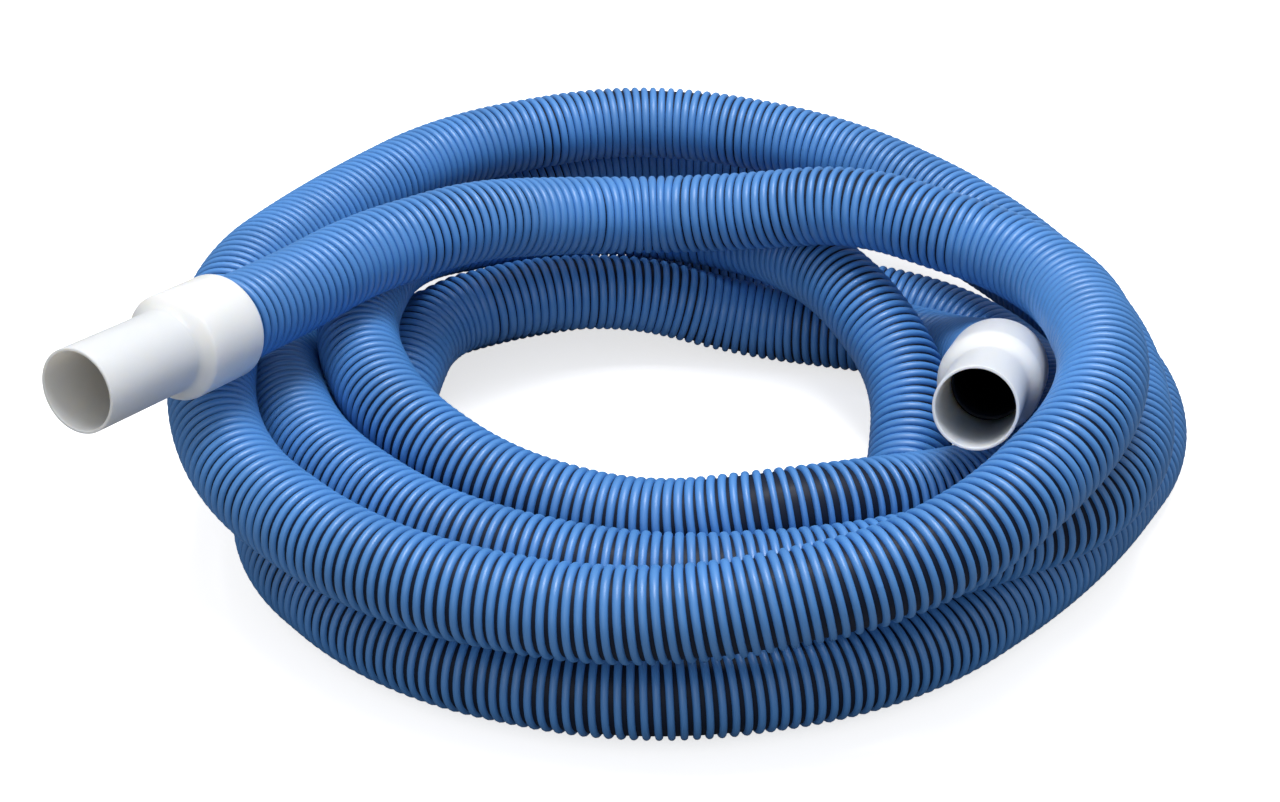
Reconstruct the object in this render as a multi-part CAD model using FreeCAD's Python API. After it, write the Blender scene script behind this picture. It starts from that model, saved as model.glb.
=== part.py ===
import FreeCAD, Part
import math
import os

os.makedirs("parts", exist_ok=True)

V = FreeCAD.Vector

# ---- Hose section (mm): a 38 mm (1 1/2 in) swimming-pool vacuum hose ----
hose_bore_d = 37.6
web_outer_d = 41.0
hose_outer_d = 45.5
on_floor = hose_outer_d / 2.0

# ---- Cuffs (mm), measured along the axis from the mouth ----
spigot_r = 20.8
collar_r = 27.0
mouth_bore_r = 19.25
mouth_round_r = 0.5
rear_round_r = 1.0
hose_pocket_r = hose_outer_d / 2.0

# ---- Fixed end (mm) ----
fixed_length = 105.0
fixed_spigot_length = 62.5
fixed_shoulder_end = 68.5
fixed_seat = 70.0
seat_chamfer = 0.5

# ---- Swivel end (mm) ----
swivel_length = 124.0
swivel_spigot_length = 70.0
swivel_shoulder_end = 77.0
swivel_seat = 80.0
bore_length = 74.0
sleeve_outer_r = 24.75
running_gap = 0.05
sleeve_end = 117.0
sleeve_lip = 2.0
sleeve_lip_r = 20.0
seal_outer_r = 24.5
seal_inner_r = 19.6
ring_start = 117.4
ring_end = 121.4
ring_inner_r = 23.2
ring_outer_r = 25.8

# ---- Where the coil lies (mm): +X right, +Y to the back, +Z up ----
coil_centre = (-17.62, -15.44)
clock_step = 30
first_clock = 30

# Mouth centre of each cuff and a point on its axis behind it, from the coil centre.
swivel_mouth = V(160.5, -154.5, 130.0)
swivel_behind = V(192.5, -39.5, 84.0)
fixed_mouth = V(-257.3, -189.3, 161.0)
fixed_behind = V(-211.3, -102.2, 143.8)
straight_lead_swivel = 152.0
straight_lead_fixed = 160.0

# Between the swivel cuff and the first clock position.
lead_in = [(187.0, 46.0, 40.0)]

# Radius and height of the hose centreline at each clock position, 30 degrees apart,
# anticlockwise seen from above, one row per turn from the swivel cuff to the fixed one.
F = on_floor
turns = [
    [(173, 26), (127, 25), (112, 44), (116, 50), (140, 49), (136, 36),
     (148, F), (174, F), (182, F), (192, F), (159, F)],
    [(149, 53), (133, 77), (147, 72), (150, 74), (158, 76), (163, 91),
     (156, 83), (146, 75), (142, 64), (149, 59), (179, 76), (207, 53)],
    [(240, 25), (227, F), (184, F), (156, F), (157, F), (178, F),
     (182, F), (222, F), (230, F), (235, F), (241, F), (247, F)],
    [(293, F), (278, 36), (284, 50), (284, 52), (246, 50), (213, 52),
     (199, 69), (194, 70), (194, 67), (201, 65), (225, 69), (278, 74)],
    [(254, 82), (230, 92), (236, 96), (248, 98), (231, 98), (207, 102),
     (221, 111), (244, 85), (244, 78), (247, 77), (270, 101), (263, 127)],
    [(222, 122), (138, 127), (105, 109), (101, 102), (98, 110), (106, 124)],
]

# Between the last clock position and the fixed cuff.
lead_out = [(-151.0, 5.0, 129.0)]

# A many-sided ring has to stand a little outside the circle it is rounded into.
corner_reach = 1.0 / math.cos(math.radians(clock_step / 2.0))
corner_share = 0.45


def placed(point):
    return V(point[0] + coil_centre[0], point[1] + coil_centre[1], point[2])


def unit(vector):
    return vector * (1.0 / vector.Length)


def along(mouth, behind, distance):
    return mouth + unit(behind - mouth) * distance


def corner_points():
    points = []
    for distance in (swivel_seat, straight_lead_swivel):
        points.append(placed(along(swivel_mouth, swivel_behind, distance)))
    for point in lead_in:
        points.append(placed(point))
    clock = first_clock
    for turn in turns:
        for radius, height in turn:
            angle = math.radians(clock)
            reach = radius * corner_reach
            points.append(placed((reach * math.cos(angle), reach * math.sin(angle), height)))
            clock += clock_step
    for point in lead_out:
        points.append(placed(point))
    for distance in (straight_lead_fixed, fixed_seat):
        points.append(placed(along(fixed_mouth, fixed_behind, distance)))
    return points


def bends(points):
    """The start, middle and end of the arc that rounds each inner corner."""
    found = {}
    smallest = None
    for i in range(1, len(points) - 1):
        back = points[i - 1] - points[i]
        ahead = points[i + 1] - points[i]
        run = corner_share * min(back.Length, ahead.Length)
        turn = math.pi - back.getAngle(ahead)
        radius = run / math.tan(turn / 2.0)
        start = points[i] + unit(back) * run
        end = points[i] + unit(ahead) * run
        inward = unit(unit(back) + unit(ahead))
        middle = points[i] + inward * (radius / math.cos(turn / 2.0) - radius)
        found[i] = (start, middle, end)
        if smallest is None or radius < smallest:
            smallest = radius
    print("smallest bend radius %.1f mm" % smallest)
    return found


def stretch(points, arcs, first, last):
    """Edges of the centreline from the middle of run `first` to the middle of run `last`."""
    edges = []
    if first == 0:
        here = points[0]
    else:
        here = (points[first] + points[first + 1]) * 0.5
    for i in range(first + 1, last + 1):
        start, middle, end = arcs[i]
        edges.append(Part.LineSegment(here, start).toShape())
        edges.append(Part.Arc(start, middle, end).toShape())
        here = end
    if last == len(points) - 2:
        finish = points[-1]
    else:
        finish = (points[last] + points[last + 1]) * 0.5
    edges.append(Part.LineSegment(here, finish).toShape())
    return Part.Wire(edges)


def pipe(path, diameter):
    edge = path.Edges[0]
    start = edge.valueAt(edge.FirstParameter)
    direction = edge.tangentAt(edge.FirstParameter)
    circle = Part.Wire([Part.makeCircle(diameter / 2.0, start, direction)])
    return path.makePipeShell([circle], True, True)


def layer(path, inner_d, outer_d):
    return pipe(path, outer_d).cut(pipe(path, inner_d))


def turned(outline, mouth, behind):
    """Revolve (distance from mouth, radius) points about the X axis, then lay it on a cuff axis."""
    corners = [V(distance, radius, 0.0) for distance, radius in outline]
    face = Part.Face(Part.makePolygon(corners + [corners[0]]))
    solid = face.revolve(V(0, 0, 0), V(1, 0, 0), 360)
    return lay(solid, mouth, behind)


def lay(solid, mouth, behind):
    turn = FreeCAD.Rotation(V(1, 0, 0), unit(behind - mouth))
    solid.Placement = FreeCAD.Placement(placed(mouth), turn)
    return solid


def cuff_blank(cuff_length, spigot_length, shoulder_end, bore_outline):
    """Spigot, rounded shoulder and collar, hollowed by the given stepped bore."""
    rise = collar_r - spigot_r
    reach = shoulder_end - spigot_length
    half = math.sqrt(0.5)
    knee = V(spigot_length + reach * (1.0 - half), spigot_r + rise * half, 0)
    corners = [
        V(mouth_round_r, spigot_r, 0),
        V(spigot_length, spigot_r, 0),
        V(shoulder_end, collar_r, 0),
        V(cuff_length - rear_round_r, collar_r, 0),
        V(cuff_length, collar_r - rear_round_r, 0),
    ]
    edges = [
        Part.LineSegment(corners[0], corners[1]).toShape(),
        Part.Arc(corners[1], knee, corners[2]).toShape(),
        Part.LineSegment(corners[2], corners[3]).toShape(),
        Part.LineSegment(corners[3], corners[4]).toShape(),
    ]
    here = corners[4]
    inner = [V(distance, radius, 0) for distance, radius in reversed(bore_outline)]
    for point in inner + [V(0, spigot_r - mouth_round_r, 0), corners[0]]:
        edges.append(Part.LineSegment(here, point).toShape())
        here = point
    face = Part.Face(Part.Wire(edges))
    return face.revolve(V(0, 0, 0), V(1, 0, 0), 360)


def fixed_cuff():
    bore = [
        (0, mouth_bore_r),
        (fixed_seat - seat_chamfer, mouth_bore_r),
        (fixed_seat, mouth_bore_r + seat_chamfer),
        (fixed_seat, hose_pocket_r),
        (fixed_length, hose_pocket_r),
    ]
    blank = cuff_blank(fixed_length, fixed_spigot_length, fixed_shoulder_end, bore)
    return lay(blank, fixed_mouth, fixed_behind)


def swivel_cuff_body():
    sleeve_bore_r = sleeve_outer_r + running_gap
    bore = [
        (0, mouth_bore_r),
        (bore_length, mouth_bore_r),
        (bore_length, sleeve_bore_r),
        (ring_start, sleeve_bore_r),
        (ring_start, ring_outer_r),
        (ring_end, ring_outer_r),
        (ring_end, sleeve_bore_r),
        (swivel_length, sleeve_bore_r),
    ]
    blank = cuff_blank(swivel_length, swivel_spigot_length, swivel_shoulder_end, bore)
    return lay(blank, swivel_mouth, swivel_behind)


def swivel_threaded_sleeve():
    outline = [
        (swivel_seat - sleeve_lip, sleeve_lip_r),
        (swivel_seat - sleeve_lip, sleeve_outer_r),
        (sleeve_end, sleeve_outer_r),
        (sleeve_end, hose_pocket_r),
        (swivel_seat, hose_pocket_r),
        (swivel_seat, sleeve_lip_r),
    ]
    return turned(outline, swivel_mouth, swivel_behind)


def swivel_seal():
    seal_end = swivel_seat - sleeve_lip
    outline = [
        (bore_length + running_gap, seal_inner_r),
        (bore_length + running_gap, seal_outer_r),
        (seal_end, seal_outer_r),
        (seal_end, seal_inner_r),
    ]
    return turned(outline, swivel_mouth, swivel_behind)


def swivel_retaining_ring():
    outline = [
        (ring_start, ring_inner_r),
        (ring_start, ring_outer_r),
        (ring_end, ring_outer_r),
        (ring_end, ring_inner_r),
    ]
    return turned(outline, swivel_mouth, swivel_behind)


def save(solid, name):
    solid.exportStep("parts/" + name + ".step")


points = corner_points()
arcs = bends(points)
last_run = len(points) - 2
splits = [0, 13, 25, 37, 49, 61, last_run]
for number in range(1, len(splits)):
    path = stretch(points, arcs, splits[number - 1], splits[number])
    rib = layer(path, web_outer_d, hose_outer_d)
    web = layer(path, hose_bore_d, web_outer_d)
    section = math.pi / 4.0 * (hose_outer_d ** 2 - web_outer_d ** 2)
    print("turn %d: length %.1f mm, rib volume %.0f against %.0f"
          % (number, path.Length, rib.Volume, section * path.Length))
    save(rib, "hose_rib_turn_%d" % number)
    save(web, "hose_web_turn_%d" % number)

save(fixed_cuff(), "fixed_cuff")
save(swivel_cuff_body(), "swivel_cuff_body")
save(swivel_threaded_sleeve(), "swivel_threaded_sleeve")
save(swivel_seal(), "swivel_seal")
save(swivel_retaining_ring(), "swivel_retaining_ring")
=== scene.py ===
import math

import bpy
import numpy as np
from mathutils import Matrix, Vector


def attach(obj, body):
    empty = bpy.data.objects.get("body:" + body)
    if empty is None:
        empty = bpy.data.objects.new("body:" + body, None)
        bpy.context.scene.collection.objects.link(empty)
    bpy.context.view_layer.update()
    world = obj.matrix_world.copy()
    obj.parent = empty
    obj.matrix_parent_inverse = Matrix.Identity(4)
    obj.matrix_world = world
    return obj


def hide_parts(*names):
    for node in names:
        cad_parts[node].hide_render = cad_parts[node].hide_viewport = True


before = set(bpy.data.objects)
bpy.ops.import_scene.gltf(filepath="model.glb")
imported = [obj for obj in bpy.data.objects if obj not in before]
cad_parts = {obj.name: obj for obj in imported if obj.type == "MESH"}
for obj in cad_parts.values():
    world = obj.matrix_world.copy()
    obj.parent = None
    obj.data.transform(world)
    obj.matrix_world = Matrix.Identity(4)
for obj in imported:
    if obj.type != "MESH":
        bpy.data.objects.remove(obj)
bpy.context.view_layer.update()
scene = bpy.context.scene

# ---- Camera (metres) ----
CAMERA_AIM = Vector((-0.0177, -0.0754, 0.075))
CAMERA_DISTANCE = 1.1
CAMERA_ELEVATION = math.radians(32)
CAMERA_LENS = 58.2

# ---- Hose section (metres) ----
WEB_INNER_R = 0.0188
WEB_OUTER_R = 0.0207
RIB_TOP_R = 0.02275
RIB_ROOT_R = 0.0203
RIB_PITCH = 0.0056
RIB_WIDTH = 0.0042
RIB_GIVE = 1.2  # how strongly the rib widens inside a bend and narrows outside it
RIB_INSET = 0.004
RIB_PIECES = 8
RIB_STEPS_PER_TURN = 40
RIB_ARC_POINTS = 7
RIB_FULLNESS = 0.85
WEB_RING_SPACING = 0.008
WEB_ROUND_COUNT = 40
HOSE_TURNS = 6
LINE_SPACING = 0.0015
BEND_WINDOW = 41  # line points the bend is smoothed over, about six centimetres

# ---- Cuffs (metres): distances along the axis from the mouth ----
SPIGOT_R = 0.0208
COLLAR_R = 0.0270
MOUTH_BORE_R = 0.01925
FIXED_LENGTH = 0.105
FIXED_SPIGOT = 0.0625
FIXED_SHOULDER = 0.0685
FIXED_SEAT = 0.070
FIXED_POCKET_R = 0.0229
SWIVEL_LENGTH = 0.124
SWIVEL_SPIGOT = 0.070
SWIVEL_SHOULDER = 0.077
SWIVEL_SEAT = 0.080
SWIVEL_BORE = 0.074
SWIVEL_INNER_R = 0.0248
FIXED_ROOT = 0.002
SWIVEL_ROOT = 0.012
RIM_ROUND = 0.0006
BORE_ROUND = 0.0005
REAR_ROUND = 0.0016
POCKET_ROUND = 0.0008
SHOULDER_STEPS = 16
CUFF_ROUND_COUNT = 96

# ---- Where the hose lies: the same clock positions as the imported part, in millimetres ----
COIL_CENTRE = (-17.62, -15.44)
FIRST_CLOCK = 30
CLOCK_STEP = 30
SWIVEL_MOUTH = (160.5, -154.5, 130.0)
SWIVEL_BEHIND = (192.5, -39.5, 84.0)
FIXED_MOUTH = (-257.3, -189.3, 161.0)
FIXED_BEHIND = (-211.3, -102.2, 143.8)
STRAIGHT_LEAD_SWIVEL = 0.152
STRAIGHT_LEAD_FIXED = 0.160
LEAD_IN = (187.0, 46.0, 40.0)
LEAD_OUT = (-151.0, 5.0, 129.0)
F = 22.75
TURNS = [
    [(173, 26), (127, 25), (112, 44), (116, 50), (140, 49), (136, 36),
     (148, F), (174, F), (182, F), (192, F), (159, F)],
    [(149, 53), (133, 77), (147, 72), (150, 74), (158, 76), (163, 91),
     (156, 83), (146, 75), (142, 64), (149, 59), (179, 76), (207, 53)],
    [(240, 25), (227, F), (184, F), (156, F), (157, F), (178, F),
     (182, F), (222, F), (230, F), (235, F), (241, F), (247, F)],
    [(293, F), (278, 36), (284, 50), (284, 52), (246, 50), (213, 52),
     (199, 69), (194, 70), (194, 67), (201, 65), (225, 69), (278, 74)],
    [(254, 82), (230, 92), (236, 96), (248, 98), (231, 98), (207, 102),
     (221, 111), (244, 85), (244, 78), (247, 77), (270, 101), (263, 127)],
    [(222, 122), (138, 127), (105, 109), (101, 102), (98, 110), (106, 124)],
]
CORNER_REACH = 1.0 / math.cos(math.radians(CLOCK_STEP / 2))
CORNER_SHARE = 0.45


def placed(point):
    """A point given from the coil's centre in millimetres, in the row frame in metres."""
    x, y, z = point
    return np.array((x + COIL_CENTRE[0], y + COIL_CENTRE[1], z)) / 1000.0


def unit(vector):
    return vector / np.linalg.norm(vector)


def along(mouth, behind, distance):
    start = placed(mouth)
    return start + unit(placed(behind) - start) * distance


def corner_points():
    points = [
        along(SWIVEL_MOUTH, SWIVEL_BEHIND, SWIVEL_SEAT),
        along(SWIVEL_MOUTH, SWIVEL_BEHIND, STRAIGHT_LEAD_SWIVEL),
        placed(LEAD_IN),
    ]
    clock = FIRST_CLOCK
    for turn in TURNS:
        for radius, height in turn:
            angle = math.radians(clock)
            reach = radius * CORNER_REACH
            points.append(placed((reach * math.cos(angle), reach * math.sin(angle), height)))
            clock += CLOCK_STEP
    points.append(placed(LEAD_OUT))
    points.append(along(FIXED_MOUTH, FIXED_BEHIND, STRAIGHT_LEAD_FIXED))
    points.append(along(FIXED_MOUTH, FIXED_BEHIND, FIXED_SEAT))
    return points


def rounded_line(points):
    """The centreline: straight runs joined by tangent arcs, as evenly spaced points."""
    line = [points[0]]
    for i in range(1, len(points) - 1):
        back, ahead = points[i - 1] - points[i], points[i + 1] - points[i]
        run = CORNER_SHARE * min(np.linalg.norm(back), np.linalg.norm(ahead))
        back, ahead = unit(back), unit(ahead)
        turn = math.pi - math.acos(float(np.dot(back, ahead)))
        radius = run / math.tan(turn / 2)
        centre = points[i] + unit(back + ahead) * (radius / math.cos(turn / 2))
        outward = (points[i] + back * run - centre) / radius
        steps = max(4, int(radius * turn / LINE_SPACING))
        for k in range(steps + 1):
            a = turn * k / steps
            line.append(centre + radius * (outward * math.cos(a) - back * math.sin(a)))
    line.append(points[-1])
    return resampled(np.array(line), LINE_SPACING)


def lengths_of(line):
    steps = np.linalg.norm(np.diff(line, axis=0), axis=1)
    return np.concatenate([[0.0], np.cumsum(steps)])


def resampled(line, spacing):
    total = lengths_of(line)
    count = int(total[-1] / spacing) + 1
    at = np.linspace(0.0, total[-1], count)
    return np.stack([np.interp(at, total, line[:, k]) for k in range(3)], axis=1)


def frames_of(line):
    """Tangent and two side directions at every point, carried along without twist."""
    tangent = np.gradient(line, axis=0)
    tangent /= np.linalg.norm(tangent, axis=1)[:, None]
    side = np.zeros_like(line)
    side[0] = unit(np.cross(tangent[0], (0.0, 0.0, 1.0)))
    for i in range(1, len(line)):
        flat = side[i - 1] - tangent[i] * np.dot(side[i - 1], tangent[i])
        side[i] = unit(flat)
    return tangent, side, np.cross(tangent, side)


def bend_of(tangent, total):
    """How sharply and which way the hose bends, smoothed along it."""
    bend = np.gradient(tangent, total, axis=0)
    window = np.hanning(BEND_WINDOW) / np.hanning(BEND_WINDOW).sum()
    return np.stack([np.convolve(bend[:, k], window, "same") for k in range(3)], axis=1)


def mesh_object(name, vertices, faces, material):
    """A smooth-shaded object made of quads."""
    mesh = bpy.data.meshes.new(name)
    flat = np.asarray(vertices, dtype=np.float32)
    quads = np.asarray(faces, dtype=np.int32)
    mesh.vertices.add(len(flat))
    mesh.vertices.foreach_set("co", flat.ravel())
    mesh.loops.add(quads.size)
    mesh.loops.foreach_set("vertex_index", quads.ravel())
    mesh.polygons.add(len(quads))
    mesh.polygons.foreach_set("loop_start", np.arange(0, quads.size, 4, dtype=np.int32))
    mesh.update(calc_edges=True)
    mesh.validate()
    mesh.polygons.foreach_set("use_smooth", np.full(len(mesh.polygons), True))
    mesh.materials.append(material)
    thing = bpy.data.objects.new(name, mesh)
    scene.collection.objects.link(thing)
    return thing


def grid_faces(rows, columns, wrap_columns):
    """Quads over a grid of rows x columns, the columns closed into a ring if asked."""
    i = np.arange(rows - 1)[:, None]
    j = np.arange(columns if wrap_columns else columns - 1)[None, :]
    after = (j + 1) % columns
    quads = np.stack([
        i * columns + j,
        i * columns + after,
        (i + 1) * columns + after,
        (i + 1) * columns + j,
    ], axis=-1)
    return quads.reshape(-1, 4)


def closed_tube(name, rings, material):
    """Equal rings of points skinned one to the next, and the last back to the first."""
    round_count = len(rings[0])
    last = (len(rings) - 1) * round_count
    j = np.arange(round_count)
    after = (j + 1) % round_count
    closing = np.stack([last + j, last + after, after, j], axis=-1)
    faces = np.concatenate([grid_faces(len(rings), round_count, True), closing])
    return mesh_object(name, np.concatenate(rings), faces, material)


def round_directions(side, up, round_count):
    """Unit vectors all the way round, from `side` towards `up`."""
    angles = np.linspace(0, 2 * math.pi, round_count, endpoint=False)
    return np.cos(angles)[:, None] * side + np.sin(angles)[:, None] * up


# ---- Materials: noise scales are lumps to the metre ----
DRIFT_SCALE = 18.0
MARKS_SCALE = 160.0
GRAIN_SCALE = 1400.0
GRAIN_DEPTH = 0.00008
WALL_GLOW_DEPTH = 0.008


def noise(nodes, link, where, scale, detail):
    """A noise texture laid over the object, `scale` lumps to the metre."""
    texture = nodes.new("ShaderNodeTexNoise")
    texture.inputs["Scale"].default_value = scale
    texture.inputs["Detail"].default_value = detail
    link(where.outputs["Object"], texture.inputs["Vector"])
    return texture.outputs["Fac"]


def plastic(name, colour, roughness, specular=0.5, drift=0.08, grain=0.2, subsurface=0.0):
    """Moulded plastic: slow colour drift, handling marks in the gloss and a fine grain."""
    material = bpy.data.materials.new(name)
    material.use_nodes = True
    nodes = material.node_tree.nodes
    link = material.node_tree.links.new
    shader = nodes["Principled BSDF"]
    where = nodes.new("ShaderNodeTexCoord")

    shade = nodes.new("ShaderNodeValToRGB")
    darker, lighter = shade.color_ramp.elements
    darker.position = 0.35
    darker.color = (*[c * (1 - drift) for c in colour], 1.0)
    lighter.position = 0.65
    lighter.color = (*[c * (1 + drift) for c in colour], 1.0)
    link(noise(nodes, link, where, DRIFT_SCALE, 4.0), shade.inputs["Fac"])
    link(shade.outputs["Color"], shader.inputs["Base Color"])

    marks = nodes.new("ShaderNodeMapRange")
    marks.inputs["From Min"].default_value = 0.3
    marks.inputs["From Max"].default_value = 0.7
    marks.inputs["To Min"].default_value = roughness - 0.06
    marks.inputs["To Max"].default_value = roughness + 0.08
    link(noise(nodes, link, where, MARKS_SCALE, 5.0), marks.inputs["Value"])
    link(marks.outputs["Result"], shader.inputs["Roughness"])

    bump = nodes.new("ShaderNodeBump")
    bump.inputs["Strength"].default_value = grain
    bump.inputs["Distance"].default_value = GRAIN_DEPTH
    link(noise(nodes, link, where, GRAIN_SCALE, 3.0), bump.inputs["Height"])
    link(bump.outputs["Normal"], shader.inputs["Normal"])

    shader.inputs["Specular IOR Level"].default_value = specular
    if subsurface > 0:
        shader.inputs["Subsurface Weight"].default_value = subsurface
        shader.inputs["Subsurface Radius"].default_value = (1.0, 0.85, 0.65)
        shader.inputs["Subsurface Scale"].default_value = WALL_GLOW_DEPTH
    return material


BLUE = plastic("blue_rib", (0.068, 0.25, 0.62), 0.42, specular=0.75)
BLACK = plastic("black_web", (0.004, 0.010, 0.028), 0.5, specular=0.2)
WHITE = plastic("white_cuff", (0.9, 0.9, 0.88), 0.36, drift=0.015, grain=0.08, subsurface=0.7)
INNER = plastic("white_inner", (0.78, 0.78, 0.75), 0.45, drift=0.03)
SEAL = plastic("seal_rubber", (0.02, 0.02, 0.02), 0.6, specular=0.3, drift=0.2)

# ---- Camera ----
camera_data = bpy.data.cameras.new("camera")
camera_data.lens = CAMERA_LENS
camera_data.sensor_width = 36.0
camera_data.clip_start = 0.01
camera = bpy.data.objects.new("camera", camera_data)
scene.collection.objects.link(camera)
toward = Vector((0.0, -math.cos(CAMERA_ELEVATION), math.sin(CAMERA_ELEVATION)))
camera.location = CAMERA_AIM + toward * CAMERA_DISTANCE
camera.rotation_euler = (-toward).to_track_quat("-Z", "Y").to_euler()
scene.camera = camera

# ---- The hose ----
centreline = rounded_line(corner_points())[::-1].copy()
tangents, sides, ups = frames_of(centreline)
travelled = lengths_of(centreline)
bends = bend_of(tangents, travelled)
hose_length = float(travelled[-1])
print("hose length %.3f m" % hose_length)


def at_distance(distances):
    """Centre, tangent, side directions and bend at distances along the hose."""
    picked = []
    for table in (centreline, tangents, sides, ups, bends):
        columns = [np.interp(distances, travelled, table[:, k]) for k in range(3)]
        picked.append(np.stack(columns, axis=1))
    return picked


def build_web():
    """The hollow wall of the hose: outside, inside and the two end rims in one closed tube."""
    count = int(hose_length / WEB_RING_SPACING)
    centre, _, side, up, _ = at_distance(np.linspace(0.0, hose_length, count))
    loops = [(k, WEB_OUTER_R) for k in range(count)]
    loops += [(k, WEB_INNER_R) for k in range(count - 1, -1, -1)]
    rings = []
    for k, radius in loops:
        out = round_directions(side[k], up[k], WEB_ROUND_COUNT)
        rings.append(centre[k] + out * radius)
    return closed_tube("hose_web", rings, BLACK)


def rib_profile():
    """The rib's section as (share of half its width, radius) points."""
    profile = [(-1.0, RIB_ROOT_R)]
    for k in range(RIB_ARC_POINTS):
        a = math.pi * (1 - k / (RIB_ARC_POINTS - 1))
        bulge = abs(math.sin(a)) ** RIB_FULLNESS
        profile.append((math.cos(a), WEB_OUTER_R + (RIB_TOP_R - WEB_OUTER_R) * bulge))
    profile.append((1.0, RIB_ROOT_R))
    return profile


def build_rib(name, start, finish):
    """One stretch of the rounded rib that winds round the hose."""
    steps = int((finish - start) / RIB_PITCH * RIB_STEPS_PER_TURN)
    distances = np.linspace(start, finish, steps + 1)
    centre, tangent, side, up, bend = at_distance(distances)
    angle = 2 * math.pi * distances / RIB_PITCH
    out = np.cos(angle)[:, None] * side + np.sin(angle)[:, None] * up
    squeeze = RIB_TOP_R * np.sum(out * bend, axis=1)
    width = RIB_WIDTH * (1 + RIB_GIVE * squeeze)
    room = 0.97 * RIB_PITCH * (1 - squeeze)  # neighbouring windings never meet
    half = np.minimum(width, room)[:, None] / 2
    profile = rib_profile()
    rows = []
    for share, radius in profile:
        rows.append(centre + out * radius + tangent * half * share)
    grid = np.stack(rows, axis=1)
    faces = grid_faces(len(distances), len(profile), False)
    return mesh_object(name, grid.reshape(-1, 3), faces, BLUE)


web = build_web()
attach(web, "hose")
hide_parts(*["hose_web_turn_%d" % (k + 1) for k in range(HOSE_TURNS)])

rib_ends = np.linspace(RIB_INSET, hose_length - RIB_INSET, RIB_PIECES + 1)
for k in range(RIB_PIECES):
    rib = build_rib("hose_rib_%d" % (k + 1), rib_ends[k], rib_ends[k + 1])
    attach(rib, "hose")
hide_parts(*["hose_rib_turn_%d" % (k + 1) for k in range(HOSE_TURNS)])


# ---- The cuffs ----
def lathe(name, outline, mouth, behind, material):
    """A closed ring of (distance from the mouth, radius) points turned about a cuff's axis."""
    start = placed(mouth)
    axis = unit(placed(behind) - start)
    side = unit(np.cross(axis, (0.0, 0.0, 1.0)))
    out = round_directions(side, np.cross(side, axis), CUFF_ROUND_COUNT)
    rings = [start + axis * distance + out * radius for distance, radius in outline]
    return closed_tube(name, rings, material)


def rounded(corners):
    """Each (distance, radius, rounding) corner of an outline cut into a short arc."""
    found = []
    count = len(corners)
    for i, (x, y, r) in enumerate(corners):
        here = np.array((x, y))
        if r == 0:
            found.append((x, y))
            continue
        back = unit(np.array(corners[i - 1][:2]) - here)
        ahead = unit(np.array(corners[(i + 1) % count][:2]) - here)
        for k in range(6):
            t = k / 5
            blend = here + back * r * (1 - t) ** 2 + ahead * r * t ** 2
            found.append((float(blend[0]), float(blend[1])))
    return found


def cuff_outline(length, spigot_length, shoulder_end, root, inside):
    """Spigot, shoulder with a soft `root`, and collar, then the given inside."""
    outside = [(0.0, SPIGOT_R, RIM_ROUND)]
    start = spigot_length - root
    for k in range(SHOULDER_STEPS + 1):
        t = k / SHOULDER_STEPS
        rise = t * t * (3 - 2 * t)
        distance = start + (shoulder_end - start) * t
        outside.append((distance, SPIGOT_R + (COLLAR_R - SPIGOT_R) * rise, 0))
    outside.append((length, COLLAR_R, REAR_ROUND))
    return rounded(outside + inside)


fixed_inside = [
    (FIXED_LENGTH, FIXED_POCKET_R, POCKET_ROUND),
    (FIXED_SEAT, FIXED_POCKET_R, 0),
    (FIXED_SEAT, MOUTH_BORE_R, 0),
    (0.0, MOUTH_BORE_R, BORE_ROUND),
]
swivel_inside = [
    (SWIVEL_LENGTH, SWIVEL_INNER_R, POCKET_ROUND),
    (SWIVEL_BORE, SWIVEL_INNER_R, 0),
    (SWIVEL_BORE, MOUTH_BORE_R, 0),
    (0.0, MOUTH_BORE_R, BORE_ROUND),
]
fixed_outline = cuff_outline(
    FIXED_LENGTH, FIXED_SPIGOT, FIXED_SHOULDER, FIXED_ROOT, fixed_inside)
fixed_cuff = lathe("cuff_fixed", fixed_outline, FIXED_MOUTH, FIXED_BEHIND, WHITE)
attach(fixed_cuff, "hose")
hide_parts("fixed_cuff")
swivel_outline = cuff_outline(
    SWIVEL_LENGTH, SWIVEL_SPIGOT, SWIVEL_SHOULDER, SWIVEL_ROOT, swivel_inside)
swivel_cuff = lathe("cuff_swivel", swivel_outline, SWIVEL_MOUTH, SWIVEL_BEHIND, WHITE)
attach(swivel_cuff, "swivel_cuff")
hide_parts("swivel_cuff_body")
for node, material in (
    ("swivel_threaded_sleeve", INNER),
    ("swivel_retaining_ring", INNER),
    ("swivel_seal", SEAL),
):
    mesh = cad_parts[node].data
    mesh.materials.clear()
    mesh.materials.append(material)


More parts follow.
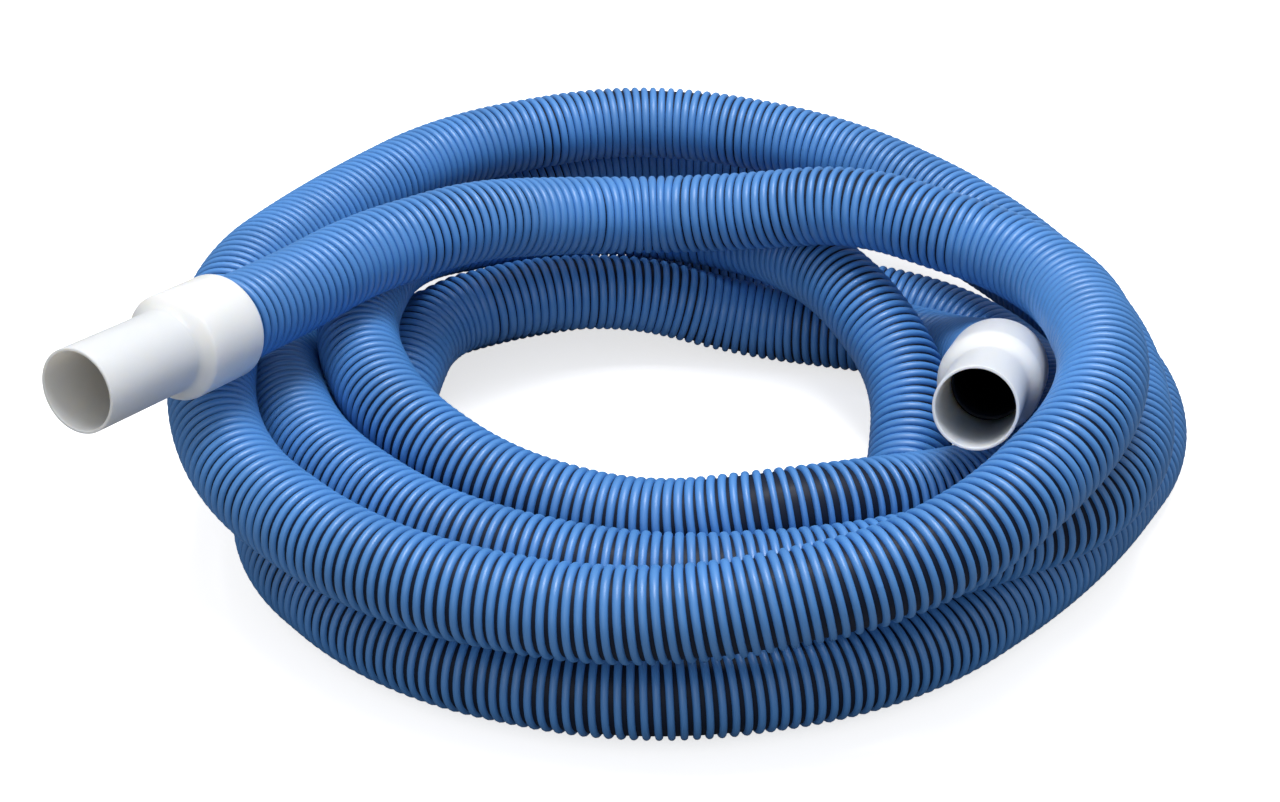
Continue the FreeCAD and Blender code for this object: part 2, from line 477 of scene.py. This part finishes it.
# ---- Floor and lights ----
def floor_material(name, albedo, glow):
    material = bpy.data.materials.new(name)
    material.use_nodes = True
    shader = material.node_tree.nodes["Principled BSDF"]
    shader.inputs["Base Color"].default_value = (albedo, albedo, albedo, 1.0)
    shader.inputs["Roughness"].default_value = 0.9
    shader.inputs["Specular IOR Level"].default_value = 0.1
    shader.inputs["Emission Color"].default_value = (1.0, 1.0, 1.0, 1.0)
    shader.inputs["Emission Strength"].default_value = glow
    return material


def floor_plane(name, height, material):
    half = 6.0
    corners = [
        (-half, -half, height),
        (half, -half, height),
        (half, half, height),
        (-half, half, height),
    ]
    plane = mesh_object(name, corners, [(0, 1, 2, 3)], material)
    return plane


# The white sweep is what is seen; the duller one under it is what lights the hose from below.
sweep = floor_plane("floor", 0.0, floor_material("floor", 0.9, 0.7))
sweep.visible_diffuse = False
sweep.visible_glossy = False
sweep.visible_transmission = False
sweep.visible_shadow = False
bounce = floor_plane("floor_bounce", -0.001, floor_material("floor_bounce", 0.26, 0.0))
bounce.visible_camera = False

world = bpy.data.worlds.new("world")
world.use_nodes = True
world_nodes = world.node_tree.nodes
world_link = world.node_tree.links.new
direction = world_nodes.new("ShaderNodeTexCoord")
parts_of = world_nodes.new("ShaderNodeSeparateXYZ")
rise = world_nodes.new("ShaderNodeMapRange")
rise.inputs["From Min"].default_value = -0.2
rise.inputs["From Max"].default_value = 1.0
rise.inputs["To Min"].default_value = 0.20
rise.inputs["To Max"].default_value = 0.58
world_link(direction.outputs["Generated"], parts_of.inputs["Vector"])
world_link(parts_of.outputs["Z"], rise.inputs["Value"])
background = world_nodes["Background"]
background.inputs["Color"].default_value = (1.0, 1.0, 1.0, 1.0)
world_link(rise.outputs["Result"], background.inputs["Strength"])
scene.world = world
scene.view_settings.view_transform = "Standard"


def area_light(name, place, aim, width, power):
    data = bpy.data.lights.new(name, "AREA")
    data.shape = "SQUARE"
    data.size = width
    data.energy = power
    lamp = bpy.data.objects.new(name, data)
    scene.collection.objects.link(lamp)
    lamp.location = place
    lamp.rotation_euler = (Vector(aim) - Vector(place)).to_track_quat("-Z", "Y").to_euler()


area_light("overhead", (0.1, 0.0, 1.8), (0.0, 0.0, 0.0), 0.8, 26)
area_light("front", (-0.4, -1.7, 0.9), (0.0, 0.0, 0.1), 1.2, 4)
